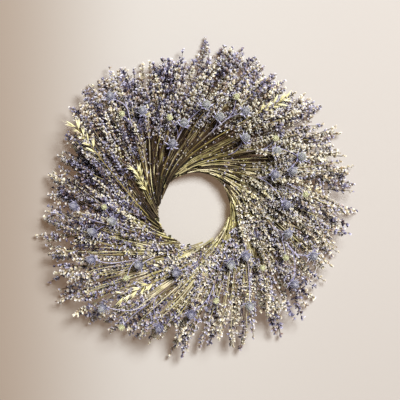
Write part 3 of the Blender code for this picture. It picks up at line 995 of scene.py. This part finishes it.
def front_depth(bunch, radius):
    """How far forward the lavender reaches at this radius, with its stems or its spikes."""
    skin = STEM_SKIN + SPIKE_SKIN * held((radius - SPIKES_FROM) / SPIKES_EASE, 0.0, 1.0)
    return dome_depth(bunch, radius) - skin


def over_bunch(bunch, slot, across, last, radius):
    """A point of a spray's stem, which lies over the lavender on the front of a bunch."""
    if radius < TIED_TO:
        return on_stream(bunch, radius, slot, TIED_DEPTH)
    share = (radius - FAN_START) / (last - FAN_START)
    depth = min(TIED_DEPTH, front_depth(bunch, radius) - CLEARANCE - 2 * HOLLY_STEM)
    return on_stream(bunch, radius, slot + (across - slot) * max(0.0, share), depth)


def spray_stem(bunch, slot, across, last):
    """Points along a spray's stem, from where it is tied to this last radius."""
    steps = round((last - TIED_FROM) / SPRAY_STEP)
    radii = [TIED_FROM + (last - TIED_FROM) * i / steps for i in range(steps + 1)]
    points = [over_bunch(bunch, slot, across, last, radius) for radius in radii]
    for _ in range(SMOOTHING_ROUNDS):
        inner = [(a + b * 2 + c) / 4 for a, b, c in zip(points, points[1:], points[2:])]
        points = [points[0]] + inner + [points[-1]]
    return points


def bent(start, middle, end, steps=8):
    """Points along a smooth bend from start to end that leaves start towards middle."""
    points = []
    for i in range(steps + 1):
        t = i / steps
        points.append(start * (1 - t) ** 2 + middle * 2 * t * (1 - t) + end * t * t)
    return points


def with_material(data, number):
    """The mesh, set to use this one of its object's materials."""
    data.polygons.foreach_set("material_index", [number] * len(data.polygons))
    return data


def bract_mesh():
    """A narrow curved bract of unit length with a few side spines."""
    blade = turned(BLADE_PROFILE, BLADE_SIDES)
    bmesh.ops.scale(blade, vec=(BLADE_FLATNESS, 1.0, 1.0), verts=blade.verts)
    spine = mesh_of(turned(SPINE_PROFILE, SPINE_SIDES), "spine")
    cluster = new_cluster()
    cluster.from_mesh(mesh_of(blade, "blade"))
    for height, side in SPINES:
        foot = Matrix.Translation((0, side * SPINE_FOOT, height))
        matrix = foot @ Matrix.Rotation(-side * SPINE_TILT, 4, "X")
        add_copy(cluster, spine, matrix, [0.0] * len(spine.vertices))
    for corner in cluster.verts:
        corner.co.x += BLADE_CURVE * corner.co.z ** 2
    return mesh_of(cluster, "bract")


def egg_width(height):
    """How wide a head's core is at this share of its height, as a share of its radius."""
    return math.sin(math.pi * height ** HEAD_TAPER) ** HEAD_FULLNESS * CORE_SHARE


CORE_HEIGHTS = [i / CORE_STEPS for i in range(CORE_STEPS + 1)]
CORE_PROFILE = [(egg_width(height), height) for height in CORE_HEIGHTS]
HEAD_CORE = mesh_of(turned(CORE_PROFILE, CORE_SIDES), "head_core", smooth=True)
FLORET = mesh_of(turned(FLORET_PROFILE, FLORET_SIDES), "floret")


def add_head(cluster, base, axis, length, radius, florets, material, draw):
    """A head of pointed florets, set closely in spirals on an egg-shaped core."""
    turning = Matrix.Translation(base) @ axis.to_track_quat("Z", "Y").to_matrix().to_4x4()
    core = turning @ Matrix.Diagonal((radius, radius, length, 1))
    with_material(HEAD_CORE, material)
    add_copy(cluster, HEAD_CORE, core, [CORE_TONE] * len(HEAD_CORE.vertices))
    with_material(FLORET, material)
    paleness = draw.random()
    for n in range(florets):
        height = FLORETS_FROM + FLORETS_OVER * (n + 0.5) / florets
        wide = egg_width(height)
        rise = TILT_RISE * (height - STRAIGHT_HEIGHT)
        out = math.atan2(rise, max(LEAST_WIDTH, wide * TILT_WIDTH))
        tilt = math.pi / 2 - out - FLORET_LIFT + draw.gauss(0, FLORET_SCATTER)
        matrix = (
            turning
            @ Matrix.Rotation(GOLDEN_TURN * n, 4, "Z")
            @ Matrix.Translation((wide * radius * FLORET_SEAT, 0, height * length))
            @ Matrix.Rotation(tilt, 4, "Y")
            @ Matrix.Scale(FLORET_LENGTH * draw.uniform(*FLORET_SIZES), 4)
        )
        tone = held(paleness + draw.gauss(0, FLORET_TONE), 0, 1)
        add_copy(cluster, FLORET, matrix, [tone] * len(FLORET.vertices))


def add_ruff(cluster, base, axis, count, length, rise, draw):
    """Bracts that stand out all round below a head and curve up a little."""
    turning = Matrix.Translation(base) @ axis.to_track_quat("Z", "Y").to_matrix().to_4x4()
    first = draw.uniform(0, math.tau)
    for k in range(count):
        tilt = math.pi / 2 - rise + draw.gauss(0, BRACT_TILT)
        spin = first + math.tau * k / count + draw.gauss(0, BRACT_SPIN)
        matrix = (
            turning
            @ Matrix.Rotation(spin, 4, "Z")
            @ Matrix.Rotation(tilt, 4, "Y")
            @ Matrix.Rotation(math.pi, 4, "Z")
            @ Matrix.Scale(length * draw.uniform(*BRACT_SIZES), 4)
        )
        add_copy(cluster, BRACT, matrix, [draw.random()] * len(BRACT.vertices))


def add_stems(cluster, name, routes, radius, draw, up=None):
    """Adds round stems or twigs, all at one share of the way along if up is given."""
    data = rods(name, routes, [draw.random() for _ in routes], radius, taper=0.75, rounds=1)
    if up is not None:
        write_attribute(data, "up", [up] * len(data.vertices))
    cluster.from_mesh(data)
    bpy.data.meshes.remove(data)


HOLLY_DUST = colour(156, 150, 146)
HOLLY_FIBRES = 1300
# Where the tips' colour starts and the foot's colour ends, and how strong they get. The pale
# tips are partly their own colour and partly a painted highlight, and the dark foot is painted
# shade where florets and bracts crowd together.
TIPS_START = 0.55
TIPS_SHARE = 0.8
FOOT_SHADE_TOP = 0.4
FOOT_SHADE_SHARE = 0.7


def holly_material(name, low, high, tip, base):
    """Skin that goes from one colour to another by its tone, paler at the tips, partly by a
    painted highlight, and darker at the foot by painted shade.
    """
    material, tree, shader = new_material(name, roughness=0.7)
    shade = mixed(tree, read_attribute(tree, "tone"), low, high)
    height = read_attribute(tree, "up")
    shade = mixed(tree, ranged(tree, height, TIPS_START, 1.0, last=TIPS_SHARE), shade, tip)
    shade = mixed(tree, ranged(tree, height, 0.0, FOOT_SHADE_TOP, FOOT_SHADE_SHARE, 0.0), shade, base)
    finish(tree, shader, shade, HOLLY_FIBRES, height=0.00025, share=0.3, dust=HOLLY_DUST)
    return material


# In each skin, tip is partly a painted highlight and base is painted shade at the foot.
bract_skin = holly_material(
    "sea holly bract",
    low=colour(122, 120, 164),
    high=colour(176, 178, 206),
    tip=colour(214, 216, 230),
    base=colour(100, 98, 126),
)
head_skin = holly_material(
    "sea holly head",
    low=colour(92, 92, 130),
    high=colour(160, 166, 156),
    tip=colour(198, 200, 202),
    base=colour(40, 38, 52),
)
bud_skin = holly_material(
    "young sea holly head",
    low=colour(156, 160, 128),
    high=colour(188, 192, 156),
    tip=colour(222, 224, 200),
    base=colour(108, 110, 76),
)
# The stems are olive brown where they are tied, and go to lilac towards the twigs.
LILAC_LOW = colour(122, 120, 156)
LILAC_HIGH = colour(168, 168, 196)
TIED_OLIVE = colour(104, 92, 56)
LILAC_EDGE = (0.45, 0.95)

lilac_skin, tree, shader = new_material("sea holly stem", roughness=0.6)
lilac = mixed(tree, read_attribute(tree, "tone"), LILAC_LOW, LILAC_HIGH)
along = ranged(tree, read_attribute(tree, "up"), *LILAC_EDGE)
lilac = mixed(tree, along, TIED_OLIVE, lilac)
finish(tree, shader, lilac, HOLLY_FIBRES, height=0.0002, share=0.3, dust=HOLLY_DUST)
HOLLY_SKINS = (lilac_skin, head_skin, bud_skin, bract_skin)
HEAD_SLOT = HOLLY_SKINS.index(head_skin)
BUD_SLOT = HOLLY_SKINS.index(bud_skin)
BRACT = with_material(bract_mesh(), HOLLY_SKINS.index(bract_skin))

for number, (bunch, slot, heads, buds) in enumerate(HOLLY_SPRAYS):
    draw = random.Random(HOLLY_SEED + number)
    name = f"sea_holly_{number + 1:02d}"
    cluster = new_cluster()
    across = sum(side for _, side in heads) / len(heads)
    last = max(radius for radius, _ in heads) - STEM_SHORT_OF_HEAD
    add_stems(cluster, name, [spray_stem(bunch, slot, across, last)], HOLLY_STEM, draw)
    twigs = []
    for i, (radius, side) in enumerate(heads + buds):
        base = on_stream(bunch, radius, side, front_depth(bunch, radius) - HOLLY_LIFT)
        outward = (on_stream(bunch, radius + AHEAD, side, base.y) - base).normalized()
        axis = (outward * HEAD_OUTWARD - Vector((0, HEAD_FORWARD, 0))).normalized()
        fork = radius - STEM_SHORT_OF_HEAD - FORK_ASIDE * abs(side - across)
        fork = min(last, max(FIRST_FORK, fork))
        start = over_bunch(bunch, slot, across, last, fork)
        onward = over_bunch(bunch, slot, across, last, fork + FORK_LENGTH) - start
        middle = start + onward.normalized() * (base - start).length * FORK_REACH
        twigs.append(bent(start, middle, base + axis * INTO_HEAD))
        if i < len(heads):
            length = HEAD_LENGTH * draw.uniform(*HEAD_LENGTHS)
            add_head(cluster, base, axis, length, HEAD_RADIUS, HEAD_FLORETS, HEAD_SLOT, draw)
            foot = base + axis * RUFF_DROP
            add_ruff(cluster, foot, axis, BRACTS, BRACT_LENGTH, BRACT_RISE, draw)
        else:
            length = 2 * BUD_RADIUS
            add_head(cluster, base, axis, length, BUD_RADIUS, BUD_FLORETS, BUD_SLOT, draw)
            add_ruff(cluster, base, axis, BUD_BRACTS, BUD_BRACT_LENGTH, BUD_BRACT_RISE, draw)
    add_stems(cluster, name, twigs, TWIG, draw, up=1.0)
    piece = new_object(name, mesh_of(cluster, name), *HOLLY_SKINS)
    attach(piece, "root")
    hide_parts(name)


# Oats
# Four sprays of dried oats, pale green to straw: thin stalks with spikelets of papery
# pointed husks on either side, each on its own fine hair-like foot.
OAT_SEED = 600
OAT_SPIKELETS = 9
SPIKELET_LENGTH = 0.0175
SPIKELET_SIZES = (0.8, 1.1)
SPIKELET_TONES = (0.1, 0.9)
STALK = 0.0009
# Each spikelet's foot: its thickness, where it leaves the stalk, how far it goes, how far
# aside and to the front, and how far it runs up into the spikelet.
FOOT = 0.0004
FOOT_START = 0.004
FOOT_LENGTH = 0.003
FOOT_SPREADS = (0.30, 0.75)
FOOT_FORWARD = 0.4
SPIKELET_FORWARD = (0.25, 0.5)
INTO_SPIKELET = 0.0005
# A husk and a bristle, in shares of the spikelet's length, and the tilt of each of the three
# husks in radians with its length.
HUSK_PROFILE = ((0, 0), (0.07, 0.12), (0.105, 0.38), (0.07, 0.7), (0, 1))
HUSK_SIDES = 6
HUSK_FLATNESS = 0.6
HUSKS = ((0.20, 1.0), (-0.20, 0.95), (0.0, 0.8))
BRISTLE_PROFILE = ((0, 0), (0.012, 0.02), (0, 1.0))
BRISTLE_SIDES = 3
BRISTLE_START = 0.55
BRISTLE_TILT = 0.12
# One row for each spray: its bunch, where it is tied, where its tip lies across the sector,
# and the radii of its first and last spikelets.
OAT_SPRAYS = (
    (5, 0.0022, 0.040, 0.150, 0.196),
    (8, 0.0, 0.012, 0.190, 0.240),
    (9, -0.0024, -0.014, 0.087, 0.117),
    (11, 0.0024, 0.040, 0.190, 0.234),
)


def husk_mesh():
    """A spikelet of unit length: two boat-shaped husks round a third, with a bristle."""
    husk = turned(HUSK_PROFILE, HUSK_SIDES)
    bmesh.ops.scale(husk, vec=(HUSK_FLATNESS, 1.0, 1.0), verts=husk.verts)
    data = mesh_of(husk, "husk")
    bristle = mesh_of(turned(BRISTLE_PROFILE, BRISTLE_SIDES), "bristle")
    cluster = new_cluster()
    for tilt, long in HUSKS:
        matrix = Matrix.Rotation(tilt, 4, "Y") @ Matrix.Scale(long, 4)
        add_copy(cluster, data, matrix, [0.0] * len(data.vertices))
    raised = Matrix.Translation((0, 0, BRISTLE_START))
    matrix = raised @ Matrix.Rotation(BRISTLE_TILT, 4, "Y")
    add_copy(cluster, bristle, matrix, [0.0] * len(bristle.vertices))
    return mesh_of(cluster, "spikelet")


SPIKELET = husk_mesh()

HUSK_LOW = colour(180, 177, 128)
HUSK_HIGH = colour(224, 221, 188)
HUSK_TIP = colour(236, 233, 212)
HUSK_TIP_START = 0.5
HUSK_TIP_SHARE = 0.6
STALK_OLIVE = colour(128, 118, 70)
OAT_DUST = colour(176, 172, 130)
# The stalks are marked as lying below the husks' heights, and so get their own colour.
STALK_MARK = -1.0

oat_skin, tree, shader = new_material("dried oat", roughness=0.6)
height = read_attribute(tree, "up")
straw = mixed(tree, read_attribute(tree, "tone"), HUSK_LOW, HUSK_HIGH)
paler = ranged(tree, height, HUSK_TIP_START, 1.0, last=HUSK_TIP_SHARE)
straw = mixed(tree, paler, straw, HUSK_TIP)
stalks = ranged(tree, height, STALK_MARK / 2, 0.0, 1.0, 0.0)
straw = mixed(tree, stalks, straw, STALK_OLIVE)
finish(tree, shader, straw, scale=1100, height=0.0002, share=0.3, dust=OAT_DUST)

for number, (bunch, slot, across, first, last) in enumerate(OAT_SPRAYS):
    draw = random.Random(OAT_SEED + number)
    name = f"oat_{number + 1:02d}"
    cluster = new_cluster()
    stalk = spray_stem(bunch, slot, across, last)
    add_stems(cluster, name, [stalk], STALK, draw, up=STALK_MARK)
    feet = []
    for i in range(OAT_SPIKELETS):
        radius = first + (last - first) * i / (OAT_SPIKELETS - 1)
        start = over_bunch(bunch, slot, across, last, radius - FOOT_START)
        root = over_bunch(bunch, slot, across, last, radius)
        along = (over_bunch(bunch, slot, across, last, radius + AHEAD) - root).normalized()
        aside = Vector((0, 1, 0)).cross(along) * (1 if i % 2 else -1)
        spread = draw.uniform(*FOOT_SPREADS)
        forward = Vector((0, -draw.uniform(*SPIKELET_FORWARD), 0))
        way = (along + aside * spread + forward).normalized()
        foot = root + (aside * spread - Vector((0, FOOT_FORWARD, 0))) * FOOT_LENGTH
        feet.append(bent(start, root, foot, steps=4))
        matrix = (
            Matrix.Translation(foot - way * INTO_SPIKELET)
            @ way.to_track_quat("Z", "Y").to_matrix().to_4x4()
            @ Matrix.Rotation(draw.uniform(0, math.pi), 4, "Z")
            @ Matrix.Scale(SPIKELET_LENGTH * draw.uniform(*SPIKELET_SIZES), 4)
        )
        tone = draw.uniform(*SPIKELET_TONES)
        add_copy(cluster, SPIKELET, matrix, [tone] * len(SPIKELET.vertices))
    add_stems(cluster, name, feet, FOOT, draw)
    piece = new_object(name, mesh_of(cluster, name), oat_skin)
    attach(piece, "root")
    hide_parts(name)


# Binding wire
# One long olive green florist's wire, 1.2 mm thick, wound three times round the ring and
# each bunch and the stems laid on it, and led on behind the ring to the next one.
WIRE_RADIUS = 0.0006
WIRE_TURNS = 3
WIRE_PITCH = 0.0017
TURN_POINTS = 20
WIRE_FRONT = TIED_DEPTH - HOLLY_STEM - CLEARANCE - WIRE_RADIUS
RING_CLEARANCE = 0.0003
WIRE_BACK = RING_WIRE / 2 + RING_CLEARANCE + WIRE_RADIUS
# A lower value makes the loops squarer.
LOOP_ROUNDNESS = 0.55
# Where the wire is led along behind the ring, as shares of the way to the next bunch.
LED_ON = (0.35, 0.65)


def near_neck(bunch, radius, across, depth, along):
    """A point beside the bunch's middle stem, measured square to it."""
    here = on_stream(bunch, radius, 0, 0)
    forward = (on_stream(bunch, radius + AHEAD / 2, 0, 0) - here).normalized()
    aside = Vector((0, 1, 0)).cross(forward)
    return here + aside * across + forward * along + Vector((0, depth, 0))


def squarer(value):
    """A sine or cosine, drawn towards its ends so that a circle becomes squarer."""
    return math.copysign(abs(value) ** LOOP_ROUNDNESS, value)


route = []
loop_half = NECK_SHARE * half_width(RING_RADIUS) + STEM_RADIUS + WIRE_RADIUS
loop_deep = (WIRE_BACK - WIRE_FRONT) / 2
for bunch in range(BUNCHES):
    count = WIRE_TURNS * TURN_POINTS
    for i in range(count + 1):
        angle = math.tau * i / TURN_POINTS
        across = loop_half * squarer(math.sin(angle))
        depth = (WIRE_BACK + WIRE_FRONT) / 2 + loop_deep * squarer(math.cos(angle))
        along = WIRE_PITCH * (i / TURN_POINTS - WIRE_TURNS / 2)
        route.append(near_neck(bunch, RING_RADIUS, across, depth, along))
    for share in LED_ON:
        angle = FIRST_TIE + (bunch + share) * SECTOR
        route.append(RING_CENTRE + Vector((math.sin(angle), 0, math.cos(angle))) * RING_RADIUS)
        route[-1].y = WIRE_BACK

WIRE_OLIVE = colour(70, 72, 46)
WORN_WIRE = colour(128, 122, 100)
WORN_SCALE = 420
WORN_EDGE = (0.5, 0.66)
PAINT_ROUGHNESS = 0.55
WORN_ROUGHNESS = 0.35

wire_skin, tree, shader = new_material("olive wire", PAINT_ROUGHNESS, metallic=0.6)
worn = ranged(tree, noise(tree, WORN_SCALE, detail=3.0), *WORN_EDGE)
polished = ranged(tree, worn, 0.0, 1.0, PAINT_ROUGHNESS, WORN_ROUGHNESS)
put(tree, shader.inputs["Base Color"], mixed(tree, worn, WIRE_OLIVE, WORN_WIRE))
put(tree, shader.inputs["Roughness"], polished)
data = rods("binding_wire", [route + route[:1]], [0.0], WIRE_RADIUS, taper=1.0, rounds=1)
data.shade_smooth()
wire = new_object("binding_wire_round", data, wire_skin)
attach(wire, "root")
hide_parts("binding_wire")


# Wall and floor
# A plain warm white wall that the wreath hangs on, and a pale floor below it. The wall has
# a faint warm glow, which keeps the shadows on it light brown. It shows from the front only
# and lets lamp light through, so that the wreath's back can be looked at.
WALL_DEPTH = 0.0071
WALL_HEIGHT = 0.3
WALL_REACH = 2.2
FLOOR_HEIGHT = -1.1
FLOOR_REACH = 3.0
# The wall's colour from the left to the right of the wreath: its paint, with painted shade that
# darkens it towards the left, away from the lamp.
WALL_SHADED_COLOURS = (
    (0.0, colour(107, 104, 100)),
    (0.40, colour(141, 145, 147)),
    (1.0, colour(134, 137, 139)),
)
WALL_EDGES = (-0.38, 0.38)
WALL_GLOW = colour(128, 102, 80)
WALL_GLOW_STRENGTH = 0.62
FLOOR_PAINT = colour(132, 128, 124)


def sheet(name, reach, matrix, paint):
    """A square that goes this far from its middle to each side."""
    shape = bmesh.new()
    bmesh.ops.create_grid(shape, x_segments=1, y_segments=1, size=reach, matrix=matrix)
    return new_object(name, mesh_of(shape, name), paint)


wall_paint_and_shade, tree, shader = new_material("wall paint and painted shade", roughness=0.9)
place = add(tree, "ShaderNodeTexCoord", {}).outputs["Object"]
across = add(tree, "ShaderNodeSeparateXYZ", {"Vector": place}).outputs["X"]
# Painted shade: the ramp darkens the paint towards the left, as if the lamp's light fell off
# there.
shade = ramp(tree, ranged(tree, across, *WALL_EDGES), WALL_SHADED_COLOURS)
tree.nodes["Color Ramp"].color_ramp.interpolation = "EASE"
put(tree, shader.inputs["Base Color"], shade)
put(tree, shader.inputs["Emission Color"], WALL_GLOW)
put(tree, shader.inputs["Emission Strength"], WALL_GLOW_STRENGTH)
behind = tree.nodes.new("ShaderNodeNewGeometry").outputs["Backfacing"]
lamp_ray = tree.nodes.new("ShaderNodeLightPath").outputs["Is Shadow Ray"]
gone = add(tree, "ShaderNodeMath", {0: behind, 1: lamp_ray}, operation="MAXIMUM")
clear = tree.nodes.new("ShaderNodeBsdfTransparent")
inputs = {0: gone.outputs["Value"], 1: shader.outputs["BSDF"], 2: clear.outputs["BSDF"]}
either = add(tree, "ShaderNodeMixShader", inputs)
put(tree, tree.nodes["Material Output"].inputs["Surface"], either.outputs["Shader"])

upright = Matrix.Translation((0, WALL_DEPTH, WALL_HEIGHT)) @ Matrix.Rotation(math.pi / 2, 4, "X")
wall = sheet("wall", WALL_REACH, upright, wall_paint_and_shade)

floor_paint, tree, shader = new_material("floor paint", roughness=0.8)
put(tree, shader.inputs["Base Color"], FLOOR_PAINT)
floor = sheet("floor", FLOOR_REACH, Matrix.Translation((0, 0, FLOOR_HEIGHT)), floor_paint)


# Light and camera
# A broad soft lamp at the upper right, whose shadows fall to the lower left, another behind
# the wall for the wreath's back, and weak warm light from all round. The camera looks
# straight at the wall, and sees a plain backdrop beyond it.
LAMP_LIGHT = (1.0, 0.955, 0.905)
ROOM_LIGHT = (1.0, 0.82, 0.64, 1.0)
ROOM_STRENGTH = 0.05
BACKDROP = colour(180, 174, 167)
BACKDROP_STRENGTH = 1.0
CAMERA_DISTANCE = 2.4
VIEW_WIDTH = 0.68
VIEW_CENTRE = RING_CENTRE + Vector((0.0068, 0, 0.0085))


def lamp(name, place, size, power):
    """A round lamp at this place from the ring's centre, which it points at."""
    light = bpy.data.lights.new(name, "AREA")
    light.shape = "DISK"
    light.size = size
    light.energy = power
    light.color = LAMP_LIGHT
    made = new_object(name, light)
    made.location = RING_CENTRE + Vector(place)
    made.rotation_euler = (-Vector(place)).to_track_quat("-Z", "Y").to_euler()


lamp("key", place=(1.50, -3.1, 1.50), size=1.7, power=318)
lamp("back", place=(-1.3, 3.0, 1.6), size=2.4, power=230)
world = bpy.data.worlds.new("room")
bpy.context.scene.world = world
world.use_nodes = True
tree = world.node_tree
seen = tree.nodes.new("ShaderNodeLightPath").outputs["Is Camera Ray"]
background = tree.nodes["Background"]
put(tree, background.inputs["Color"], mixed(tree, seen, ROOM_LIGHT, BACKDROP))
strength = ranged(tree, seen, 0, 1, ROOM_STRENGTH, BACKDROP_STRENGTH)
put(tree, background.inputs["Strength"], strength)

lens = bpy.data.cameras.new("camera")
lens.lens = lens.sensor_width * CAMERA_DISTANCE / VIEW_WIDTH
camera = new_object("camera", lens)
camera.location = VIEW_CENTRE + Vector((0, -CAMERA_DISTANCE, 0))
camera.rotation_euler = (math.pi / 2, 0, 0)
bpy.context.scene.camera = camera
bpy.context.scene.view_settings.view_transform = "Standard"
bpy.context.scene.view_settings.look = "Medium High Contrast"
